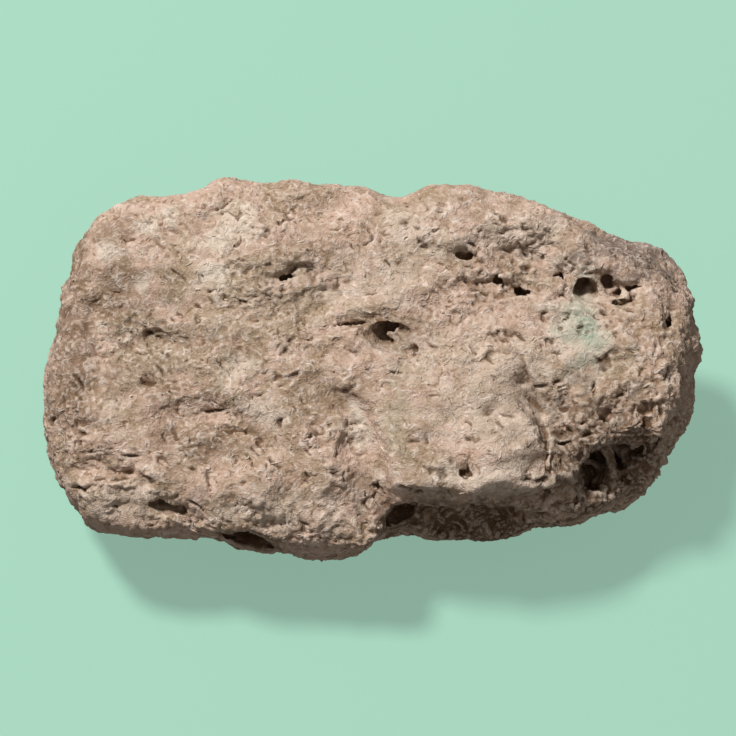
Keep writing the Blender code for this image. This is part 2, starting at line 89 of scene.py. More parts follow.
# Tears and burst bubbles of the broad face: (u, v, turn in degrees, half length, half width, depth).
GASHES = [
    (21.1, 24.9, -8, 2.4, 0.70, 2.0), (22.4, 27.5, -20, 1.8, 0.44, 1.2), (22.2, 22.4, 0, 2.0, 0.35, 1.2),
    (15.2, 23.1, -15, 1.3, 0.35, 1.0), (21.1, 18.9, 0, 0.9, 0.40, 1.0), (29.5, 18.9, -60, 1.3, 0.66, 2.0),
    (33.8, 17.0, -12, 1.8, 0.57, 2.0), (34.2, 26.6, -55, 2.0, 0.53, 1.6), (34.6, 22.0, 10, 1.5, 0.53, 1.6),
    (42.2, 20.5, -20, 1.1, 0.79, 2.0), (44.7, 23.3, -35, 1.5, 0.44, 1.4), (38.5, 24.9, 0, 0.5, 0.48, 1.2),
    (48.6, 23.1, 0, 0.7, 0.53, 1.4), (55.4, 14.6, 8, 2.4, 0.66, 2.4), (58.7, 17.5, 12, 2.2, 0.35, 1.6),
    (57.6, 12.5, -10, 1.1, 0.40, 1.2), (66.7, 10.3, 60, 1.5, 0.66, 1.8), (54.0, 6.8, -60, 1.5, 0.44, 1.4),
    (51.6, 12.1, -30, 1.1, 0.35, 1.0), (43.8, 11.2, 55, 1.5, 0.40, 1.2), (39.6, 30.4, -32, 1.8, 0.35, 1.0),
    (45.1, 31.0, 0, 0.6, 0.44, 1.0), (17.6, 14.7, 20, 1.3, 0.44, 0.8), (41.1, 3.3, -8, 1.8, 0.40, 1.2),
    (26.4, 1.1, -10, 0.9, 0.40, 1.0), (15.1, 34.6, 10, 0.9, 0.35, 0.8), (36.7, -4.2, -5, 1.8, 0.48, 1.4),
    (40.9, -3.1, 20, 1.1, 0.57, 1.4), (42.2, -9.2, 0, 1.3, 0.88, 1.6), (51.9, -11.0, -40, 1.5, 0.62, 2.0),
    (49.1, -4.8, 80, 1.8, 0.48, 1.4), (60.7, -12.1, 15, 1.1, 0.66, 1.8), (20.9, -15.6, -30, 0.9, 0.53, 1.2),
    (20.7, -23.0, -8, 1.5, 0.62, 1.6), (34.8, -24.6, -3, 2.6, 0.35, 1.2), (37.8, -25.1, 30, 1.3, 0.35, 1.0),
    (42.2, -16.7, 5, 1.5, 0.57, 1.8), (28.4, 8.1, 0, 0.9, 0.31, 0.8), (13.9, 4.6, -8, 1.5, 0.35, 0.8),
    (47.1, -14.5, 10, 2.2, 0.53, 1.6), (55.9, -17.2, -20, 1.3, 0.53, 1.6),
    (-54.3, 28.9, 14, 2.0, 0.53, 1.6), (-43.8, 21.3, -38, 2.6, 0.29, 1.2),
    (-41.8, 19.8, -20, 0.9, 0.40, 1.2), (-49.6, 7.7, -20, 1.3, 0.57, 1.6),
    (-47.7, 6.8, -22, 1.5, 0.31, 1.2), (-50.2, 3.3, -5, 2.2, 0.26, 0.9), (-45.1, 2.6, 0, 0.7, 0.33, 0.9),
    (-44.4, 10.6, -45, 0.8, 0.40, 1.0), (-46.7, -0.2, -50, 1.3, 0.57, 1.4),
    (-48.8, -3.3, 0, 2.0, 0.44, 1.4), (-44.4, -5.2, -30, 1.3, 0.57, 1.4), (-43.3, -3.3, 20, 0.9, 0.40, 1.0),
    (-64.7, -2.9, -55, 1.8, 0.53, 1.3), (-64.1, -6.8, -40, 0.9, 0.44, 1.0),
    (-18.7, 20.0, 25, 2.0, 0.62, 1.8), (-17.2, 21.8, 50, 1.1, 0.44, 1.2), (-13.9, 21.6, 25, 1.3, 0.31, 0.9),
    (-8.1, 30.6, 5, 1.5, 0.53, 1.4), (-7.0, 33.4, 0, 0.9, 0.40, 0.9), (-4.2, 26.7, -50, 0.9, 0.40, 1.0),
    (-26.2, 29.6, 0, 0.7, 0.44, 1.0), (-23.6, 29.0, -30, 0.9, 0.35, 0.9), (3.9, 23.1, -60, 1.1, 0.44, 1.1),
    (-0.2, 16.3, 12, 2.0, 0.35, 1.0), (-4.2, 9.7, 8, 4.0, 0.40, 1.6), (-13.9, 6.2, 0, 1.3, 0.44, 1.2),
    (-5.9, -5.5, 0, 0.9, 0.40, 1.0), (-3.5, -4.0, 60, 1.1, 0.35, 0.9), (-37.2, 1.8, -30, 0.9, 0.35, 0.9),
    (-33.0, 0.2, -40, 1.3, 0.40, 1.0), (-38.3, 13.4, -30, 1.5, 0.26, 0.8), (-46.4, 3.3, 0, 0.4, 0.31, 0.8),
    (-64.1, -26.4, -8, 1.5, 0.48, 1.4), (-59.6, -24.6, 8, 2.0, 0.40, 1.3),
    (-54.8, -24.4, 4, 2.6, 0.35, 1.2), (-49.5, -24.0, -30, 1.3, 0.48, 1.4),
    (-55.9, -30.6, -20, 0.9, 0.44, 1.0), (-39.8, -34.4, 85, 1.5, 0.40, 1.6),
    (-25.7, -36.3, -10, 2.6, 0.53, 1.6), (-31.9, -37.4, -8, 1.8, 0.53, 1.6),
    (-13.9, -34.5, -20, 1.8, 0.40, 1.2), (-29.3, -29.9, 60, 1.1, 0.44, 1.2),
    (-39.2, -22.0, -10, 1.1, 0.53, 1.3), (-7.5, -23.5, -12, 1.8, 0.53, 1.4),
    (-13.5, -18.9, -50, 1.1, 0.40, 1.1), (-21.1, -20.9, -40, 1.5, 0.57, 1.5),
    (-29.5, -14.1, -5, 3.1, 0.40, 1.3), (-34.8, -9.7, 4, 2.9, 0.31, 1.0), (1.8, -26.4, -35, 1.8, 0.62, 1.6),
    (-24.0, -17.6, -50, 2.2, 0.40, 1.3), (-61.8, -18.7, 10, 1.8, 0.35, 0.9),
    (-53.5, -19.4, -6, 2.6, 0.29, 0.9), (-9.0, -13.9, -75, 2.0, 0.33, 1.0),
    (-68.4, -7.3, 70, 1.3, 0.35, 0.8), (62.5, 3.7, 70, 1.8, 0.44, 1.2), (65.3, -1.8, 75, 1.8, 0.48, 1.2),
    (59.2, -1.1, 60, 1.1, 0.44, 1.1), (50.4, 1.5, 40, 1.3, 0.35, 0.9), (54.8, -6.2, 20, 1.3, 0.40, 1.1),
    (10.3, 31.0, 0, 1.5, 0.31, 0.8), (28.4, 31.9, -20, 1.5, 0.29, 0.8), (5.3, -1.1, -6, 2.0, 0.26, 0.7),
    (13.4, -6.2, 10, 1.5, 0.31, 0.8), (29.5, -10.6, -12, 1.8, 0.29, 0.8), (9.7, -16.1, -5, 1.8, 0.31, 0.8),
    (-4.6, 3.7, -15, 1.8, 0.29, 0.8), (-22.2, 8.1, 15, 1.5, 0.26, 0.7), (-28.8, 14.7, -20, 1.8, 0.29, 0.8),
    (-57.4, 16.9, -10, 2.0, 0.26, 0.8), (-57.4, -11.7, -20, 1.8, 0.31, 0.9),
]

# Places where the solid's round hollows are filled again, for cavities of a truer shape:
# (u, v, half length, half width).
PLUGS = [
    (3.9, 8.4, 5.6, 3.4), (28.4, 18.4, 3.2, 3.6), (47.6, 17.6, 4.6, 4.0), (53.2, 18.6, 4.0, 3.4),
    (56.6, 14.6, 4.4, 2.6), (34.4, 26.6, 3.4, 2.8), (34.2, 21.6, 3.6, 2.2), (21.8, 25.2, 3.6, 2.4),
    (-44.2, -31.0, 4.0, 1.8),
]

# Cavities with ragged walls, deeper at their upper side, under the lip:
# (u, v, turn in degrees, half length, half width, depth).
CAVITIES = [
    (3.6, 6.8, -4, 5.1, 2.7, 7.0), (6.2, 5.6, -26, 4.4, 2.0, 5.0), (-5.6, 9.3, 5, 3.6, 0.45, 2.0),
    (-2.8, 10.0, -12, 2.4, 0.4, 1.6), (-19.4, 19.8, 26, 1.9, 0.6, 2.2), (-17.4, 21.6, 60, 1.2, 0.45, 1.6),
    (47.8, 16.8, -8, 2.5, 2.1, 9.0), (49.6, 16.4, 30, 1.8, 1.1, 6.0), (53.0, 18.6, -30, 2.8, 1.5, 4.5),
    (55.8, 16.9, -16, 5.4, 2.9, 2.0), (58.4, 17.5, 14, 3.2, 0.8, 4.0), (56.4, 14.6, -4, 4.0, 1.6, 5.5),
    (21.0, 25.1, -12, 3.0, 0.7, 2.8), (22.6, 27.4, -28, 2.0, 0.4, 1.6), (21.8, 22.5, 2, 2.1, 0.35, 1.4),
    (35.4, 26.2, -48, 2.3, 0.5, 2.2), (34.4, 20.8, 8, 2.4, 0.55, 2.2), (32.6, 22.6, 60, 1.6, 0.4, 1.6),
    (28.1, 19.4, -68, 2.2, 0.8, 2.4), (29.6, 21.4, 10, 1.5, 0.5, 1.6), (33.6, 16.9, -14, 2.2, 0.8, 3.0),
    (42.3, 20.6, -40, 1.2, 0.6, 2.4), (-45.0, -30.9, -14, 4.2, 1.1, 5.0),
    (-41.2, -33.2, 86, 2.2, 0.35, 2.6), (-27.3, -38.7, -6, 6.4, 1.5, 5.0), (49.6, -23.0, 72, 5.2, 2.6, 8.0),
    (52.6, -20.8, 20, 3.4, 2.2, 7.0), (55.9, -21.7, 24, 2.3, 2.0, 12.0), (60.2, -19.0, 35, 2.6, 0.9, 5.0),
    (57.2, -26.2, 35, 2.8, 0.6, 2.6), (53.0, -27.6, 60, 1.6, 0.6, 2.2), (66.7, 10.1, 62, 1.5, 0.7, 2.4),
    (20.7, -23.0, -8, 1.5, 0.5, 1.8), (-8.6, -13.2, -55, 2.2, 0.55, 1.6), (-4.8, -16.6, 40, 1.8, 0.5, 1.2),
    (42.4, -17.0, 6, 1.8, 0.6, 2.2), (6.0, -33.0, 8, 4.6, 1.5, 5.5), (45.2, -29.0, 80, 2.6, 0.6, 2.4),
    (52.0, -10.0, -52, 1.6, 0.5, 2.0), (61.4, -11.8, 20, 1.6, 0.6, 2.0), (38.2, -24.8, -30, 1.6, 0.5, 1.8),
    (46.4, -12.2, 70, 1.8, 0.5, 2.0),
]

# Ribs left standing across the cavities: (u and v of one end, u and v of the other, thickness, how far down).
RIBS = [
    (50.4, 20.2, 51.4, 14.6, 2.0, 1.2), (51.2, 16.4, 57.6, 15.6, 1.2, 1.2),
    (54.6, 19.8, 57.0, 15.8, 0.9, 1.8), (6.0, 8.8, 9.4, 4.8, 1.4, 2.0), (3.6, 7.8, 6.6, 4.6, 1.2, 3.0),
    (7.8, 7.6, 8.2, 4.4, 1.1, 2.0), (52.4, -17.6, 53.2, -26.4, 2.0, 1.2),
    (57.8, -18.0, 59.4, -25.0, 1.7, 1.0), (54.0, -25.6, 60.6, -22.4, 1.4, 0.6),
    (60.8, -16.8, 62.4, -21.6, 1.4, 0.8), (47.0, -21.0, 51.6, -22.6, 1.4, 3.4),
    (23.6, 26.2, 20.4, 23.8, 1.0, 0.9),
]

# Places that the drawn froth curls round: (u, v, radius, how strongly).
SWIRLS = [
    (3.5, 7.5, 9, 1.6), (53, 16.5, 11, 1.4), (47, 8, 9, 1.8), (-31, -29, 17, 2.2), (-7.3, -14, 6, 2.4),
    (54, -22, 13, 1.8), (-46, 2, 7, 1.2), (-18.5, 21, 6, 1.4), (22, 25, 6, 1.0), (34, 20, 8, 1.4),
    (-56, -24, 9, 1.2), (20, -12, 16, 0.8), (-60, 14, 12, 1.0), (44, -16, 7, 1.6), (-33, 28, 10, 1.2),
]

# Small ledges of the broad face: (how far the low side drops, how far it takes to rise again, the u and v of
# the points along its edge). The low side is on the right, going along the points.
LEDGES = [
    (2.3, 15.0, [
        (33, 4), (35.5, -2), (36.5, -7), (38.6, -12), (40.0, -17), (40.2, -22), (39.4, -27), (39.0, -33),
    ]),
    (1.2, 4.0, [(30, 27), (33, 27.2), (36, 25.6), (37.4, 23), (36.4, 20.4)]),
    (1.0, 4.0, [(19, 20.4), (23, 19.6), (28, 20.8), (31, 19.6), (33.4, 17.4)]),
    (0.9, 3.0, [(18, 26.4), (21, 27), (25, 25.4), (27, 23.4)]),
    (0.8, 3.0, [(43, 12.6), (46, 13.4), (50, 12.8), (54, 11.4), (57, 11)]),
    (1.0, 4.0, [(-52, 8.4), (-48, 8.8), (-44, 6.4), (-40, 5.6)]),
    (1.1, 3.5, [(-24, 20.6), (-20, 21.8), (-15.6, 23.4), (-12, 23)]),
    (0.9, 4.0, [(-36, -13), (-30, -12.6), (-25, -14.4), (-21, -17.4)]),
    (1.0, 4.0, [(-66, -21.5), (-60, -22), (-54, -21.6), (-48, -23), (-43, -26)]),
    (0.9, 4.0, [(-14, -9), (-10.5, -11), (-8.6, -15), (-9.6, -19)]),
]

# Where the stone is crumbly: (u, v, half size along u, half size along v, strength).
CRUMBLY = [
    (62, -8, 13, 24, 1.0), (52, -23, 17, 12, 1.1), (44.5, -18, 6, 15, 1.5), (34, 22, 18, 9, 0.8),
    (54, 17, 11, 7, 0.7), (44, -13, 9, 8, 0.8), (0, -35, 70, 6, 0.65), (-64, 2, 9, 28, 0.6),
    (-20, 20, 14, 10, 0.5), (-48, 5, 14, 9, 0.5), (4, 8, 12, 6, 0.4), (-8, -15, 9, 8, 0.7),
    (-56, -25, 14, 8, 0.7), (-38, 33, 30, 5, 0.5), (20, 33, 30, 5, 0.4), (-30, -22, 18, 7, 0.4),
]

# Where the stone is stained, and where shade and highlights are painted on, by name: (u, v, half size along
# u, half size along v, strength).
STAINS_AND_PAINTED_LIGHT = {
    # cream: pale patches of the stone, and a painted highlight along the edge of the ledge at (24, -25)
    "cream": [
        (-50.4, 31, 4.4, 2.8, 0.9), (-59.4, 25.4, 3.6, 2.2, 0.9), (-51, 18.8, 2, 1.9, 0.8),
        (-45.6, 34, 1.8, 2.6, 0.8), (-35.5, 21, 3.2, 3.6, 1.0), (-33, 30, 5, 5, 0.6), (-28, 32, 3, 5, 0.7),
        (-2.5, -12, 2.6, 6, 0.9), (2, 20, 12, 6, 0.3), (-18, -31, 13, 5, 0.35), (-23, -10.5, 4, 3.5, 0.6),
        (-29, 0, 4, 3, 0.5), (24, -25, 18, 3.5, 0.6), (10, 30, 9, 6, 0.4), (30, -8, 18, 16, 0.35),
        (-53, -29, 10, 4, 0.3), (-57, -9, 4, 2, 0.3), (46, 9, 8, 9, 0.6), (34, 30, 12, 5, 0.4),
        (20, 0, 16, 10, 0.25),
    ],
    "moss": [(-29, 16, 16, 13, 0.25), (-46, 4, 14, 8, 0.3), (6, -12, 3, 10, 0.5), (50, 0, 10, 6, 0.3)],
    "teal": [(46.8, 10, 4.5, 7, 0.5), (47.4, 9.2, 2.4, 4.2, 0.95)],
    # umber: brown stains, and painted shade under the ledge, in the lower right hollow and on the lumps
    # beside the slab
    "umber": [
        (-55, 16, 10, 9, 0.42), (-66, 8, 7, 16, 0.25), (-57, 30, 6, 3, 0.35), (-50, -3, 12, 6, 0.35),
        (56, -20, 13, 11, 0.75), (45, -18, 8, 15, 1.0), (-38, -16, 10, 3, 0.5), (24, -35, 18, 6, 1.0),
        (6, -34, 6, 5, 0.7), (-28, -39, 9, 3, 0.6), (30, 20, 10, 6, 0.12), (-36, 5, 12, 4, 0.35),
        (-48, 5, 7, 4, 0.4), (-20, 20, 6, 4, 0.15), (-67, 4, 7, 24, 0.6), (5, 8, 8, 4, 0.3),
    ],
    # slate: the grey, smooth back-right face and right end, darkened further as painted shade
    "slate": [(62, 27, 15, 7, 1.0), (74, 8, 5, 30, 0.2)],
}

# Noise is eased between the random heights of a lattice, which is turned so that its rows don't show.
RNG = np.random.default_rng(5)
LATTICE = RNG.random((32, 32, 32)).astype(np.float32) * 2 - 1
TILT = np.array(Matrix.Rotation(0.7, 3, (0.4, 1.0, 0.7)), dtype=np.float32)


def linear(hex_colour):
    """A linear RGBA colour from an sRGB hex value."""
    parts = [int(hex_colour[i : i + 2], 16) / 255 for i in (0, 2, 4)]
    return [c / 12.92 if c <= 0.04045 else ((c + 0.055) / 1.055) ** 2.4 for c in parts] + [1.0]


def only(piece):
    """Selects this piece alone and makes it the active one."""
    bpy.ops.object.select_all(action="DESELECT")
    piece.select_set(True)
    bpy.context.view_layer.objects.active = piece


def apply_all(piece):
    """Applies the piece's modifiers, first to last."""
    only(piece)
    for modifier in list(piece.modifiers):
        bpy.ops.object.modifier_apply(modifier=modifier.name)


def corners(mesh):
    """The mesh's corners and the way each faces, as arrays, in mm."""
    where = np.empty(len(mesh.vertices) * 3, dtype=np.float32)
    facing = np.empty(len(mesh.vertices) * 3, dtype=np.float32)
    mesh.vertices.foreach_get("co", where)
    mesh.vertices.foreach_get("normal", facing)
    return where.reshape(-1, 3) / MM, facing.reshape(-1, 3)


def move_corners(mesh, places):
    """Moves the mesh's corners to these places, in mm."""
    mesh.vertices.foreach_set("co", (places * MM).astype(np.float32).ravel())


def store(mesh, name, values):
    """Keeps a value for each corner of the mesh, under this name, for its material."""
    kind, key = ("FLOAT", "value") if values.ndim == 1 else ("FLOAT_VECTOR", "vector")
    kept = mesh.attributes.new(name, kind, "POINT")
    kept.data.foreach_set(key, np.ascontiguousarray(values, dtype=np.float32).ravel())


def search_tree(piece):
    """The piece's surface, ready for rays and for finding what is nearest."""
    return BVHTree.FromObject(piece, bpy.context.evaluated_depsgraph_get())


def on_face(points):
    """The (u, v, w) of points of the row frame."""
    return (points - np.array(PLANE_MIDDLE, dtype=np.float32)) @ FACE_AXES.astype(np.float32)


def skin_under(tree, u, v):
    """Where the line at (u, v), square to the plane, meets the skin: a point of the row frame, in metres."""
    return tree.ray_cast(PLANE @ Vector((u, v, ABOVE)) * MM, -FACE_OUT)[0]


def swell(points, size, seed=0):
    """Smooth noise from -1 to 1, whose swellings are this size across."""
    grid = points @ TILT / size + np.float32(seed * 7.31)
    cell = np.floor(grid).astype(np.int32)
    part = (grid - cell).astype(np.float32)
    part = part * part * (3 - 2 * part)
    total = np.zeros(len(points), dtype=np.float32)
    for corner in range(8):
        share = 1.0
        at = []
        for axis in range(3):
            high = corner >> axis & 1
            share = share * (part[:, axis] if high else 1 - part[:, axis])
            at.append((cell[:, axis] + high) & 31)
        total += share * LATTICE[at[0], at[1], at[2]]
    return total


def drawn(points, way, size, length, seed=0):
    """Noise drawn out into strings this thick and this long along the way given, with a spread of 1."""
    steps = np.arange(-length / 2, length / 2 + 0.01, size * 0.6)
    total = sum(swell(points + way * np.float32(step), size, seed) for step in steps)
    return total / total.std()


def ramp(values, start, end):
    """The values' share of the way from start to end, from 0 to 1, eased at both ends."""
    share = np.clip((values - start) / (end - start), 0, 1)
    return share * share * (3 - 2 * share)


def flakes(level, fall):
    """Overlapping flakes, one for each whole level: a slow rise to its edge, and then a fall this steep."""
    part = level - np.floor(level)
    return np.minimum(part, fall * (1 - part))


def patchy(place, patches, edge):
    """How strongly the patches show at each place, from 0 to 1. The edge given makes them ragged."""
    share = np.zeros(len(place), dtype=np.float32)
    for u, v, half_u, half_v, strength in patches:
        apart = np.sqrt(((place[:, 0] - u) / half_u) ** 2 + ((place[:, 1] - v) / half_v) ** 2
                        + (np.minimum(place[:, 2], 0) / PATCH_REACH) ** 2)
        share = np.maximum(share, strength * ramp(apart + edge, 1.35, 0.45))
    return share


def ledges(place):
    """How far each place is sunk below the edge of a ledge. The drop varies along the edge."""
    sunk = np.zeros(len(place), dtype=np.float32)
    broken = np.clip(0.85 + 0.7 * swell(place, 5, 74), 0.2, 1.15)
    for drop, reach, line in LEDGES:
        nearest = np.full(len(place), 1e6, dtype=np.float32)
        low = np.zeros(len(place), dtype=bool)
        along = np.zeros(len(place), dtype=np.float32)
        for step, (start, end) in enumerate(zip(line, line[1:])):
            du, dv = end[0] - start[0], end[1] - start[1]
            across, up = place[:, 0] - start[0], place[:, 1] - start[1]
            part = (across * du + up * dv) / (du * du + dv * dv)
            share = np.clip(part, 0, 1)
            apart = np.hypot(across - share * du, up - share * dv)
            closer = apart < nearest
            nearest[closer] = apart[closer]
            low[closer] = (du * up - dv * across < 0)[closer]
            along[closer] = ((step + part) / (len(line) - 1))[closer]
        fade = ramp(along, -0.1, 0.2) * ramp(along, 1.1, 0.8)
        edge = ramp(nearest, 0.0, LEDGE_WALL) * ramp(nearest, reach, LEDGE_WALL)
        sunk = np.maximum(sunk, broken * drop * edge * fade * low * ramp(place[:, 2], -9, -5))
    return sunk


def drawing_way(points, facing):
    """The way that the froth was drawn at each point before it set: a unit vector along the surface."""
    way = np.stack([
        1.3 * swell(points, 24, seed) + 1.1 * swell(points, 9, seed + 3) + 1.5 * swell(points, 3.6, seed + 6)
        for seed in (1, 2, 3)
    ], 1)
    way += np.array((0.8, 0, 0), dtype=np.float32)  # most of it was drawn along the stone
    place = on_face(points)
    for u, v, radius, strength in SWIRLS:
        du, dv = place[:, 0] - u, place[:, 1] - v
        apart = np.sqrt(du**2 + dv**2) + 0.01
        share = strength * np.exp(-((apart / radius) ** 2)) * (place[:, 2] > -2)
        side = np.sign(dv) + (dv == 0)
        around = np.stack([side * dv / apart, -side * du / apart, 0 * du], 1) @ FACE_AXES.T
        way += share[:, None] * around
    way -= np.sum(way * facing, 1, keepdims=True) * facing
    return (way / (np.linalg.norm(way, axis=1, keepdims=True) + 1e-6)).astype(np.float32)


def new_ball(subdivisions):
    """A new ball of radius 1, and its corners as an array."""
    bpy.ops.object.select_all(action="DESELECT")
    bpy.ops.mesh.primitive_ico_sphere_add(subdivisions=subdivisions, radius=1.0)
    ball = bpy.context.object
    return ball, corners(ball.data)[0] * MM


def plug(skin):
    """Fills the solid's round hollows in the broad face with flattened balls, level with their rims."""
    tree = search_tree(skin)
    rim_steps = 16
    balls = []
    for u, v, half_length, half_width in PLUGS:
        heights = []
        for step in range(rim_steps):
            angle = step * 2 * math.pi / rim_steps
            rim_u = u + 1.15 * half_length * math.cos(angle)
            rim_v = v + 1.15 * half_width * math.sin(angle)
            heights.append((PLANE.inverted() @ (skin_under(tree, rim_u, rim_v) / MM)).z)
        ball, spot = new_ball(4)
        spot = np.sign(spot) * np.abs(spot) ** (1.0, 1.0, 0.6)
        spot = spot * (half_length, half_width, PLUG_HEIGHT) + (u, v, float(np.median(heights)) - PLUG_SINK)
        move_corners(ball.data, spot)
        ball.data.transform(Matrix.Translation(PLANE_MIDDLE * MM) @ PLANE.to_3x3().to_4x4())
        balls.append(ball)
    only(skin)
    for ball in balls:
        ball.select_set(True)
    bpy.ops.object.join()


def cavity_cutters(skin):
    """A ragged, ribbed ball for each cavity, leaning up the face as it goes in."""
    tree = search_tree(skin)
    cutters = bpy.data.collections.new("cutters")
    bpy.context.scene.collection.children.link(cutters)
    for number, (u, v, turn, half_length, half_width, depth) in enumerate(CAVITIES):
        cutter, ball = new_ball(3)
        rag = max(0.22, 0.5 - 0.12 * half_width)  # the narrow ones are the more ragged
        ridged = swell(ball * (0.7, 2.4, 2.4), 0.5, number + 50)
        size = 1 + rag * swell(ball, 0.8, number) + 0.5 * rag * ridged
        thin = size * (1 - 0.45 * ball[:, 0] ** 2)  # its two ends taper
        ball *= np.stack([size * half_length, thin * half_width, thin * depth], 1)
        ball[:, 1] += 0.12 * half_width * (ball[:, 0] / half_length) ** 2 * (-1) ** number  # and it bends
        spot = Matrix.Translation(skin_under(tree, u, v)) @ PLANE.to_3x3().to_4x4()
        spot = spot @ Matrix.Rotation(CAVITY_LEAN, 4, "X") @ Matrix.Rotation(math.radians(turn), 4, "Z")
        move_corners(cutter.data, ball)
        cutter.data.transform(spot)
        cutters.objects.link(cutter)
        bpy.context.scene.collection.objects.unlink(cutter)
    return cutters


def ribs(skin):
    """A closed, ragged bar for each rib, from lip to lip of its cavity."""
    tree = search_tree(skin)
    bars = []
    for number, (u0, v0, u1, v1, thickness, down) in enumerate(RIBS):
        start, end = (skin_under(tree, u, v) / MM - FACE_OUT * down for u, v in ((u0, v0), (u1, v1)))
        length = (end - start).length
        bpy.ops.object.select_all(action="DESELECT")
        bpy.ops.mesh.primitive_cylinder_add(vertices=12, radius=1.0, depth=2.0)
        bar = bpy.context.object
        bpy.ops.object.mode_set(mode="EDIT")
        bpy.ops.mesh.select_all(action="SELECT")
        bpy.ops.mesh.bisect(plane_co=(0, 0, 0), plane_no=(0, 0, 1))
        bpy.ops.mesh.select_all(action="SELECT")
        bpy.ops.mesh.subdivide(number_cuts=3)
        bpy.ops.object.mode_set(mode="OBJECT")
        spot = corners(bar.data)[0] * MM
        waist = thickness / 2 * (0.8 + 0.5 * spot[:, 2] ** 2 + 0.5 * swell(spot * (1, 1, 3), 0.8, number))
        sway = 0.12 * length * (1 - spot[:, 2] ** 2) * (-1) ** number
        spot = np.stack([spot[:, 0] * waist * 1.3 + sway, spot[:, 1] * waist, spot[:, 2] * length / 2], 1)
        move_corners(bar.data, spot)
        turn = (end - start).to_track_quat("Z", "Y").to_matrix().to_4x4()
        bar.data.transform(Matrix.Translation((start + end) / 2 * MM) @ turn)
        bars.append(bar)
    return bars


def cut(skin, cutters):
    """Takes the cutters out of the skin, and then out of the file."""
    taken = skin.modifiers.new("cavities", "BOOLEAN")
    taken.operation = "DIFFERENCE"
    taken.solver = "MANIFOLD"
    taken.operand_type = "COLLECTION"
    taken.collection = cutters
    apply_all(skin)
    for cutter in list(cutters.objects):
        bpy.data.objects.remove(cutter)
    bpy.data.collections.remove(cutters)


def even_out(skin, grain, rounds):
    """Remeshes the skin in even quads of this size, and smooths it this many times."""
    even = skin.modifiers.new("even", "REMESH")
    even.mode = "VOXEL"
    even.voxel_size = grain * MM
    soft = skin.modifiers.new("soft", "SMOOTH")
    soft.factor = 0.5
    soft.iterations = rounds
    apply_all(skin)


def drop_loose(skin):
    """Drops the crumbs that the cuts have left loose, so that the skin is one closed surface."""
    top = int(corners(skin.data)[0][:, 2].argmax())
    only(skin)
    bpy.ops.object.mode_set(mode="EDIT")
    bpy.ops.mesh.select_mode(type="VERT")
    bpy.ops.mesh.select_all(action="DESELECT")
    bpy.ops.object.mode_set(mode="OBJECT")
    skin.data.vertices[top].select = True
    bpy.ops.object.mode_set(mode="EDIT")
    bpy.ops.mesh.select_linked()
    bpy.ops.mesh.select_all(action="INVERT")
    bpy.ops.mesh.delete(type="VERT")
    bpy.ops.object.mode_set(mode="OBJECT")


def plain_skin(node):
    """The solid's surface as an even mesh, with its facets rounded off and its cavities opened up."""
    only(node)
    bpy.ops.object.duplicate()
    skin = bpy.context.object
    skin.name = "pumice_skin"
    skin.data.name = "pumice_skin"
    bpy.ops.object.mode_set(mode="EDIT")
    bpy.ops.mesh.select_all(action="SELECT")
    bpy.ops.mesh.remove_doubles(threshold=0.00001)
    bpy.ops.object.mode_set(mode="OBJECT")
    plug(skin)
    even_out(skin, BODY_GRAIN, 5)
    bars = ribs(skin)
    cut(skin, cavity_cutters(skin))
    for bar in bars:
        bar.select_set(True)
    bpy.ops.object.join()
    even_out(skin, SKIN_GRAIN, 2)
    drop_loose(skin)
    return skin


def tear(points, facing, skin):
    """How deep the tears of the broad face are at each point, and how far into one it lies, from 0 to 1."""
    tree = search_tree(skin)
    place = on_face(points)
    out = facing @ FACE_AXES[:, 2]
    ragged = 0.55 * swell(points, 1.7, 21) + 0.3 * swell(points, 0.8, 22)
    depth_of = np.zeros(len(points), dtype=np.float32)
    inside = np.zeros(len(points), dtype=np.float32)
    for number, (u, v, angle, half_length, half_width, depth) in enumerate(GASHES):
        height = (PLANE.inverted() @ (skin_under(tree, u, v) / MM)).z
        half_width = max(0.8 * half_width, 0.32)
        near = np.nonzero(
            (np.abs(place[:, 0] - u) < half_length * 1.8) & (np.abs(place[:, 1] - v) < half_length * 1.8)
            & (np.abs(place[:, 2] - height) < 3) & (out > 0.1)
        )[0]
        c, s = math.cos(math.radians(angle)), math.sin(math.radians(angle))
        across, up = place[near, 0] - u, place[near, 1] - v
        along = (across * c + up * s) / half_length
        aside = (up * c - across * s) / half_width
        bend = 0.7 if number % 2 else -0.7
        share = np.sqrt(along**2 + (aside + bend * along**2) ** 2) + ragged[near]
        sink = np.sqrt(np.clip(1 - share, 0, 1))
        depth_of[near] = np.maximum(depth_of[near], 0.65 * depth * sink)
        inside[near] = np.maximum(inside[near], ramp(share, 1.15, 0.5))
    return depth_of, inside


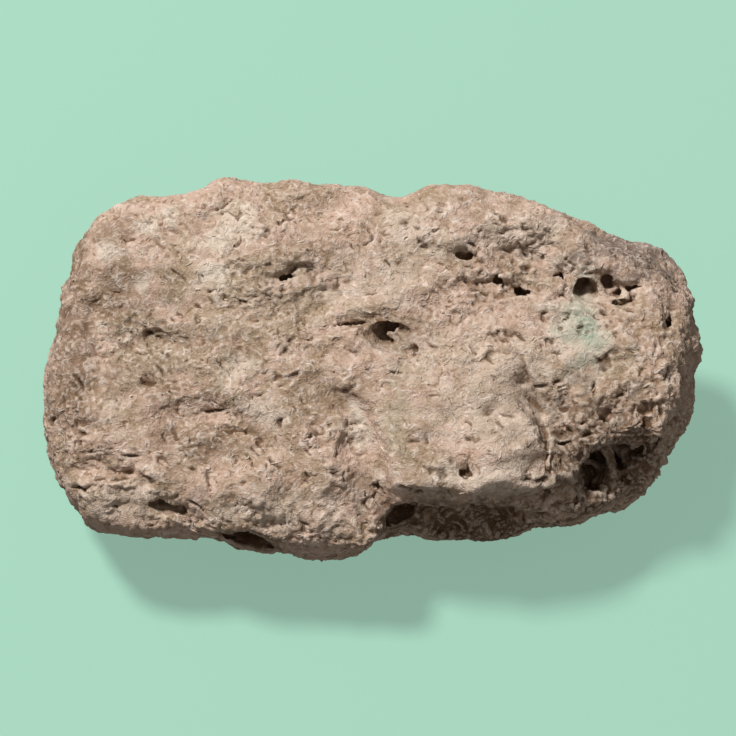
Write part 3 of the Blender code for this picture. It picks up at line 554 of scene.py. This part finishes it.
def froth(points, facing, depth):
    """How far the froth stands out at each point, less the tears' depth, and how far in a nick each is."""
    place = on_face(points)
    way = drawing_way(points, facing)
    crumbly = patchy(place, CRUMBLY, 0.3 * swell(points, 6, 54))
    crumbly = crumbly * (1 - 0.9 * patchy(place, STAINS_AND_PAINTED_LIGHT["slate"], 0))  # the slate grey part is rubbed smooth
    calm = [(u, v, 1.1 * long, 1.3 * wide, 0.8) for u, v, _, long, wide, _ in CAVITIES if wide > 1.3]
    calm = 1 - patchy(place, calm, 0)  # round the larger cavities the skin is smoother
    curled = points + 1.1 * np.stack([swell(points, 2.4, seed) for seed in (61, 62, 63)], 1)

    lumps = 0.5 * swell(points, 9, 31) + 0.3 * swell(points, 4.5, 32)
    # Crumbs: round heads with sharp creases between them, in three sizes.
    crumbs = 0.8 * np.abs(swell(curled, 3.4, 47)) ** 0.7 + 0.7 * np.abs(swell(curled, 1.7, 48)) ** 0.7
    crumbs += 0.45 * np.abs(swell(curled, 1.0, 49)) ** 0.7 - 0.85
    # The froth was drawn into ropes, and these into strings.
    ropes = drawn(points, way, 2.6, 7, 33)
    strings = np.abs(drawn(points, way, 1.3, 3.0, 34))
    # It broke along its layers, and these into small scales.
    level = 1.9 * swell(points, 5.5, 36) + 1.2 * swell(curled, 2.8, 42) + 0.5 * swell(curled, 1.5, 43)
    layers = flakes(level - 0.35 * place[:, 1], 6)
    scales = 1.5 * swell(curled, 2.2, 55) + 0.8 * swell(curled, 1.2, 56) - 0.25 * place[:, 1]
    scales = flakes(scales, 5)
    flaking = 0.3 + 0.7 * ramp(swell(points, 11, 44), -0.4, 0.4)
    # Nicks: short cracks along the noise's level lines, in some places only.
    nicks = ramp(np.abs(swell(curled, 2.6, 37)), 0.2, 0.04) * ramp(swell(points, 2.2, 45), 0.0, 0.4)
    nicks *= ramp(swell(points, 8, 38) + 0.5 * swell(points, 3, 39), -0.25, 0.5)

    rise = lumps + (0.3 + 0.9 * crumbly) * calm * crumbs + 0.12 * np.clip(ropes, -2, 2)
    rise += (0.08 * (np.minimum(strings, 1.5) ** 0.8 - 0.8)
             + calm * flaking * (0.5 * (layers - 0.4) + 0.3 * (scales - 0.4)))
    rise += 0.12 * swell(points, 1.0, 40) - 0.7 * calm * nicks - depth
    return rise, nicks


def blurred(values, ends, rounds):
    """The values, each averaged with its neighbours this many times."""
    first, second = ends
    count = len(values)
    near = np.bincount(first, minlength=count) + np.bincount(second, minlength=count) + 1.0
    for _ in range(rounds):
        total = values.astype(np.float64)
        for column in range(values.shape[1]):
            total[:, column] += np.bincount(first, values[second, column], count)
            total[:, column] += np.bincount(second, values[first, column], count)
        values = total / near[:, None]
    return values


def wear(skin):
    """Wears the even skin: its froth, its tears and its ledges. Then thins the mesh out."""
    mesh = skin.data
    points, facing = corners(mesh)
    depth, inside = tear(points, facing, skin)
    rise, nicks = froth(points, facing, depth)
    rise = np.minimum(rise, RISE_LIMIT) * ramp(points[:, 2], 0.0, FOOT)
    ragged = 0.9 * np.stack([swell(points, 2.6, 71), swell(points, 2.6, 72), 0 * depth], 1)
    ragged[:, 0] += 1.5 * swell(points, 7, 73)
    worn = points + rise[:, None] * facing - ledges(on_face(points) + ragged)[:, None] * FACE_AXES[:, 2]
    move_corners(mesh, worn)
    mesh.update()

    ends = np.empty(len(mesh.edges) * 2, dtype=np.int32)
    mesh.edges.foreach_get("vertices", ends)
    ends = (ends[::2], ends[1::2])
    new_facing = corners(mesh)[1]
    # How far each corner lies below the average of its neighbours, near and broad. From these the material     paints shade into creases and hollows, and a highlight onto ridges.
    for name, rounds in (("sunk_fine", 4), ("sunk_broad", 40)):
        store(mesh, name, np.sum((blurred(worn, ends, rounds) - worn) * new_facing, 1))
    # the material paints shade into the tears and nicks from this
    store(mesh, "tear", np.maximum(inside, nicks))

    thin = skin.modifiers.new("thin", "DECIMATE")
    thin.ratio = min(1.0, SKIN_TRIANGLES / (2 * len(mesh.polygons)))
    apply_all(skin)
    skin.data.shade_smooth()


def shelter(skin):
    """How closed in each corner of the skin is, from 0, open, to 1."""
    points, facing = corners(skin.data)
    tree = search_tree(skin)
    rays = RNG.normal(size=(12, 3))
    rays /= np.linalg.norm(rays, axis=1, keepdims=True)
    reach = SHELTER_REACH * MM
    closed = np.zeros(len(points))
    starts = (points + facing * 0.08) * MM
    for ray in rays:
        aims = facing * 1.02 + ray
        for i in range(len(points)):
            hit = tree.ray_cast(starts[i], aims[i], reach)
            if hit[3] is not None:
                closed[i] += 1 - 0.5 * hit[3] / reach
    return closed / len(rays)


def lay_stains_and_painted_light(mesh, points, way):
    """Stores how strongly the stains, painted shade and painted highlights show at each corner.

    The edge of each is ragged along the strings.
    """
    edge = 0.2 * drawn(points, way, 2.4, 6, 51) + 0.5 * swell(points, 3, 52) + 0.4 * swell(points, 1.5, 53)
    for name, patches in STAINS_AND_PAINTED_LIGHT.items():
        store(mesh, name, patchy(on_face(points), patches, edge))


def string_paths(skin, rings):
    """Short curling paths along the skin, with this many stops each, and the way the skin faces at each stop.

    Also gives each path's thickness.
    """
    points, facing = corners(skin.data)
    tree = search_tree(skin)
    on_top = facing @ FACE_AXES[:, 2] > 0.3
    weight = np.where(on_top, 2.0, 0.8) * ramp(points[:, 2], 1.5, 4.0)
    start = RNG.choice(len(points), STRINGS, replace=False, p=weight / weight.sum())
    lengths = RNG.uniform(1.0, 3.6, STRINGS)
    thick = RNG.uniform(0.1, 0.24, STRINGS)
    turn = RNG.normal(0, 0.8, STRINGS)
    curl = RNG.normal(0, 0.4, STRINGS)
    path = np.zeros((rings, STRINGS, 3), dtype=np.float32)
    normal = np.zeros((rings, STRINGS, 3), dtype=np.float32)
    middle = rings // 2
    path[middle], normal[middle] = points[start], facing[start]
    for sign in (1, -1):
        here, up = points[start], facing[start]
        for k in range(1, middle + 1):
            way = drawing_way(here, up)
            side = np.cross(up, way)
            angle = (turn + sign * k * curl)[:, None]
            way = way * np.cos(angle) + side * np.sin(angle)
            ahead = here + way * (sign * lengths / (rings - 1))[:, None]
            here, up = here.copy(), up.copy()
            for i, aim in enumerate(ahead):
                at, out, _, _ = tree.find_nearest(Vector(aim) * MM)
                here[i], up[i] = at / MM, out
            path[middle + sign * k], normal[middle + sign * k] = here, up
    for _ in range(2):
        path[1:-1] = (path[:-2] + 2 * path[1:-1] + path[2:]) / 4
        normal[1:-1] = (normal[:-2] + normal[1:-1] + normal[2:]) / 3
    return path, normal, thick


def strings_piece(skin):
    """Strings of glass lying along the skin: each a thin tapering ridge, sunk at both ends."""
    rings = 7
    section = ((1.5, -0.7), (0.7, 0.6), (-0.7, 0.6), (-1.5, -0.7))  # wider at its foot than at its ridge
    path, normal, thick = string_paths(skin, rings)
    share = np.linspace(-1, 1, rings)[:, None]
    thickness = thick[None, :] * np.sqrt(1 - 0.9 * share**2)
    along = np.gradient(path, axis=0)
    along /= np.linalg.norm(along, axis=2, keepdims=True) + 1e-6
    side = np.cross(normal, along)
    side /= np.linalg.norm(side, axis=2, keepdims=True) + 1e-6
    up = np.cross(along, side)
    core = path + up * (thick[None, :] * (0.35 - 1.3 * share**4))[..., None]
    around = np.stack([core + thickness[..., None] * (a * side + b * up) for a, b in section], 2)
    verts = around.transpose(1, 0, 2, 3).reshape(-1, 3)
    faces = []
    sides = len(section)
    for string in range(STRINGS):
        base = string * rings * sides
        for ring in range(rings - 1):
            for k in range(sides):
                a, b = base + ring * sides + k, base + ring * sides + (k + 1) % sides
                faces.append((a, b, b + sides, a + sides))
        faces.append(tuple(base + k for k in reversed(range(sides))))
        faces.append(tuple(base + (rings - 1) * sides + k for k in range(sides)))
    mesh = bpy.data.meshes.new("glass_strings")
    mesh.from_pydata([tuple(v) for v in verts * MM], [], faces)
    mesh.update()
    piece = bpy.data.objects.new("glass_strings", mesh)
    bpy.context.scene.collection.objects.link(piece)
    mesh.shade_smooth()
    store(mesh, "tone", np.repeat(RNG.random(STRINGS), rings * sides))
    store(mesh, "way", np.repeat(along.transpose(1, 0, 2).reshape(-1, 3), sides, axis=0))
    return piece


def add(tree, kind, inputs=None, **settings):
    """Adds a node with these settings, sets or links its inputs, and returns its first output in use."""
    made = tree.nodes.new(kind)
    for name, value in settings.items():
        setattr(made, name, value)
    for name, value in (inputs or {}).items():
        at = made.inputs[name] if isinstance(name, int) else next(
            i for i in made.inputs if i.name == name and i.enabled
        )
        if isinstance(value, bpy.types.NodeSocket):
            tree.links.new(value, at)
        else:
            at.default_value = value
    return next((o for o in made.outputs if o.enabled), made)


def fibres(tree, place, way, size, length):
    """Noise drawn out along the strings: fibres this thick and this long, in mm."""
    total = 0.0
    count = 7
    for step in range(count):
        shift = length * (step / (count - 1) - 0.5)
        at = add(tree, "ShaderNodeVectorMath", {0: way, 1: (shift, shift, shift), 2: place},
                 operation="MULTIPLY_ADD")
        one = add(tree, "ShaderNodeTexNoise", {"Vector": at, "Scale": 1 / size, "Detail": 1.0})
        total = add(tree, "ShaderNodeMath", {0: total, 1: one}, operation="ADD")
    return add(tree, "ShaderNodeMath", {0: total, 1: 2.6 / count, 2: -0.8}, operation="MULTIPLY_ADD")


def wisps(tree, place, size, seed, width, often):
    """Short, thin, curling lines in every direction: parts of a noise's level lines. Its size is in mm."""
    at = add(tree, "ShaderNodeVectorMath", {0: place, 1: (seed, seed, seed)}, operation="ADD")
    line = add(tree, "ShaderNodeTexNoise", {"Vector": at, "Scale": 1 / size, "Detail": 1.0})
    line = add(tree, "ShaderNodeMath", {0: line, 1: 0.5}, operation="SUBTRACT")
    line = add(tree, "ShaderNodeMath", {0: line}, operation="ABSOLUTE")
    line = add(tree, "ShaderNodeMapRange", {"Value": line, "From Min": width, "From Max": 0.0},
               interpolation_type="SMOOTHSTEP")
    at = add(tree, "ShaderNodeVectorMath", {0: place, 1: (seed + 9, seed + 9, seed + 9)}, operation="ADD")
    shown = add(tree, "ShaderNodeTexNoise", {"Vector": at, "Scale": 1 / (size * 0.7), "Detail": 2.0})
    shown = add(tree, "ShaderNodeMapRange",
                {"Value": shown, "From Min": 0.62 - often, "From Max": 0.74 - often},
                interpolation_type="SMOOTHSTEP")
    return add(tree, "ShaderNodeMath", {0: line, 1: shown}, operation="MULTIPLY")


def pumice_material():
    """Pumice: rhyolite glass blown to froth, drawn into strings and chilled.

    Its torn bubble walls scatter the light, so it looks dry, dull and fibrous, and hardly shines. Weather has
    stained it in patches. Shade is painted into its hollows, creases, cavities and tears, a highlight onto
    its ridges, and some of the patches are painted shade and highlight as well.
    """
    material = bpy.data.materials.new("pumice, blown and chilled")
    material.use_nodes = True
    tree = material.node_tree
    tree.nodes.clear()
    mark = {
        name: add(tree, "ShaderNodeAttribute", attribute_name=name).node.outputs["Fac"]
        for name in ("tone", "sunk_fine", "sunk_broad", "shelter", "tear", *STAINS_AND_PAINTED_LIGHT)
    }
    way = add(tree, "ShaderNodeAttribute", attribute_name="way").node.outputs["Vector"]

    # Patterns are placed in mm, and curled by up to a millimetre or so, as the froth is.
    place = add(tree, "ShaderNodeVectorMath", {0: add(tree, "ShaderNodeTexCoord").node.outputs["Object"],
                "Scale": 1 / MM}, operation="SCALE")
    wander = add(tree, "ShaderNodeTexNoise", {"Vector": place, "Scale": 1 / 2.4, "Detail": 2.0})
    place = add(tree, "ShaderNodeVectorMath", {0: wander.node.outputs["Color"], 1: (1.7, 1.7, 1.7), 2: place},
                operation="MULTIPLY_ADD")

    # Bands of the froth are 5 to 10 mm wide, and flecks 2 to 3 mm. Burst bubbles are 0.3 to 1.3 mm. Real grit
    # is under 0.1 mm, too fine to show, so it is drawn at 0.55 mm.
    pattern = {}
    for name, size, seed, detail, roughness in (
        ("bands", 9, 0, 4.0, 0.5), ("flecks", 3.2, 30, 3.0, 0.5), ("crumb", 1.3, 0, 5.0, 0.7),
        ("grit", 0.55, 60, 3.0, 0.5),
    ):
        at = add(tree, "ShaderNodeVectorMath", {0: place, 1: (seed, seed, seed)}, operation="ADD")
        pattern[name] = add(tree, "ShaderNodeTexNoise", {
            "Vector": at, "Scale": 1 / size, "Detail": detail, "Roughness": roughness,
        })
    # Real strings are 0.05 to 0.3 mm thick. Most are too fine to show, so they are drawn 0.6 mm thick.
    pattern["fibres"] = fibres(tree, place, way, 0.6, 1.6)
    # Broken bubble walls and cracks are 1 to 4 mm long and about 0.2 mm wide.
    for name, coarse, fine in (
        ("pale wisps", (4.4, 80, 0.045, 0.13), (2.6, 110, 0.06, 0.08)),
        ("dark wisps", (4.0, 140, 0.035, 0.09), (2.2, 170, 0.06, 0.03)),
    ):
        pattern[name] = add(tree, "ShaderNodeMath",
                            {0: wisps(tree, place, *coarse), 1: wisps(tree, place, *fine)},
                            operation="MAXIMUM")

    # The colours are laid over each other in this order: what shows each, the values at which it starts to
    # show and is full, its strength, how it eases in, and its colour.
    soft, even = "SMOOTHSTEP", "LINEAR"
    colour = linear("A0876F")
    for shown_by, start, full, strength, easing, laid in (
        (pattern["bands"], 0.35, 0.65, 1.0, soft, "BFA18E"),
        (pattern["flecks"], 0.5, 0.68, 0.5, soft, "D2BDAE"),
        (pattern["flecks"], 0.46, 0.3, 0.5, soft, "8E7557"),
        # umber: partly the stone's brown, partly painted shade under the ledge, in the lower right hollow and
        # beside the slab
        (mark["umber"], 0.0, 1.0, 1.0, even, "70563F"),
        (mark["moss"], 0.0, 1.0, 1.0, even, "9A9277"),
        # slate: grey, and partly painted shade on the faces turned away from the light
        (mark["slate"], 0.0, 1.0, 1.0, even, "7D6C62"),
        # cream: pale patches, and a painted highlight along the ledge's edge
        (mark["cream"], 0.0, 1.0, 1.0, even, "D6C7B5"),
        (mark["teal"], 0.0, 1.0, 1.0, even, "9CAA96"),
        (pattern["fibres"], 0.55, 0.85, 0.3, soft, "DCC8B4"),
        (pattern["fibres"], 0.45, 0.15, 0.25, soft, "846B55"),
        (pattern["pale wisps"], 0.0, 1.0, 0.55, even, "E8D9CC"),
        (pattern["dark wisps"], 0.0, 1.0, 0.7, even, "664627"),
        (pattern["crumb"], 0.52, 0.68, 0.45, soft, "DECABC"),
        (pattern["crumb"], 0.44, 0.3, 0.4, soft, "80624A"),
        (pattern["grit"], 0.55, 0.75, 0.3, soft, "E0CFBE"),
        (pattern["grit"], 0.45, 0.25, 0.3, soft, "7A614A"),
        # painted shade: the umber patches darkened once more, over the wisps and crumbs
        (mark["umber"], 0.0, 1.0, 0.35, even, "4E3B2B"),
        (mark["tone"], 0.3, 1.0, 0.45, soft, "E8DCCB"),  # the glass strings differ from each other
        (mark["sunk_fine"], -0.03, -0.2, 0.35, soft, "E2D0BE"),  # painted highlight on ridges
        (mark["sunk_fine"], 0.04, 0.3, 0.55, soft, "6C4B2E"),  # painted shade in creases
        (mark["sunk_broad"], 0.2, 1.2, 0.55, soft, "6A513B"),  # painted shade in broad hollows
        (mark["shelter"], 0.3, 0.9, 0.75, soft, "6B4F34"),  # painted shade inside cavities
        # painted shade in the tears and nicks
        (mark["tear"], 0.0, 1.0, 0.6, soft, "503A27"),
    ):
        share = add(tree, "ShaderNodeMapRange",
                    {"Value": shown_by, "From Min": start, "From Max": full, "To Max": strength},
                    interpolation_type=easing)
        colour = add(tree, "ShaderNodeMix", {"Factor": share, "A": colour, "B": linear(laid)},
                     data_type="RGBA")

    # The grit, the burst bubbles and the wisps stand out by up to a third of a millimetre.
    height = add(tree, "ShaderNodeMath", {0: pattern["crumb"], 1: 1.5, 2: pattern["grit"]},
                 operation="MULTIPLY_ADD")
    raised = add(tree, "ShaderNodeMath", {0: pattern["pale wisps"], 1: pattern["dark wisps"]},
                 operation="SUBTRACT")
    height = add(tree, "ShaderNodeMath", {0: raised, 1: 0.25, 2: height}, operation="MULTIPLY_ADD")
    bump = add(tree, "ShaderNodeBump", {"Height": height, "Strength": 0.9, "Distance": 0.37 * MM})
    shader = add(
        tree, "ShaderNodeBsdfPrincipled",
        {"Base Color": colour, "Roughness": 0.95, "Normal": bump, "Specular IOR Level": 0.2},
    )
    add(tree, "ShaderNodeOutputMaterial", {"Surface": shader})
    return material


def plain_floor():
    """A pale, even studio floor, far bigger than the view. It glows, so that the shadow on it stays light."""
    bpy.ops.object.select_all(action="DESELECT")
    bpy.ops.mesh.primitive_plane_add(size=6.0, location=(0, 0, 0))
    floor = bpy.context.object
    floor.name = "studio_floor"
    material = bpy.data.materials.new("paper, matt")
    material.use_nodes = True
    shader = material.node_tree.nodes["Principled BSDF"]
    shader.inputs["Base Color"].default_value = linear("5F8271")
    shader.inputs["Roughness"].default_value = 0.9
    shader.inputs["Emission Color"].default_value = linear("AFDAC5")
    shader.inputs["Emission Strength"].default_value = 0.54
    floor.data.materials.append(material)
    floor.visible_diffuse = False  # its colour isn't cast back onto the stone


def soft_box(name, place, size, watts):
    """A round soft box of this size, in metres, turned to the stone."""
    lamp = bpy.data.lights.new(name, "AREA")
    lamp.shape = "DISK"
    lamp.size = size
    lamp.energy = watts
    box = bpy.data.objects.new(name, lamp)
    bpy.context.scene.collection.objects.link(box)
    box.location = place
    box.rotation_euler = (Vector(place) - Vector((0, 0, 0.02))).to_track_quat("Z", "Y").to_euler()


def studio():
    """Soft light from up and to the left of the face, a weak fill, and the camera square to the face."""
    plain_floor()
    soft_box("key", (-0.75, 0.6, 1.72), 0.36, 49)
    soft_box("fill", (0.2, -0.9, 1.1), 0.9, 1.2)
    world = bpy.data.worlds.new("studio")
    world.use_nodes = True
    world.node_tree.nodes["Background"].inputs["Color"].default_value = (1.0, 0.97, 0.92, 1)
    world.node_tree.nodes["Background"].inputs["Strength"].default_value = 0.19
    scene = bpy.context.scene
    scene.world = world
    scene.view_settings.view_transform = "Standard"
    lens = bpy.data.cameras.new("camera")
    lens.lens = 100
    lens.sensor_width = 36
    lens.clip_start = 0.01
    camera = bpy.data.objects.new("camera", lens)
    scene.collection.objects.link(camera)
    camera.location = PLANE @ Vector(CAMERA_AIM) * MM + FACE_OUT * CAMERA_DISTANCE
    camera.rotation_euler = (LEAN, 0, 0)
    scene.camera = camera


skin = plain_skin(frame["nodes"]["pumice_stone"])
wear(skin)
# the material paints shade into the sheltered places from this
store(skin.data, "shelter", shelter(skin))
points, facing = corners(skin.data)
way = drawing_way(points, facing)
store(skin.data, "way", way)
lay_stains_and_painted_light(skin.data, points, way)
strings = strings_piece(skin)
points, facing = corners(strings.data)
lay_stains_and_painted_light(strings.data, points, drawing_way(points, facing))
pumice = pumice_material()
skin.data.materials.clear()
for piece in (skin, strings):
    piece.data.materials.append(pumice)
    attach(piece, "root")
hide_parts("pumice_stone")
studio()

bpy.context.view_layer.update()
for piece in (skin, strings):
    print(piece.name, "triangles", sum(len(p.vertices) - 2 for p in piece.data.polygons))
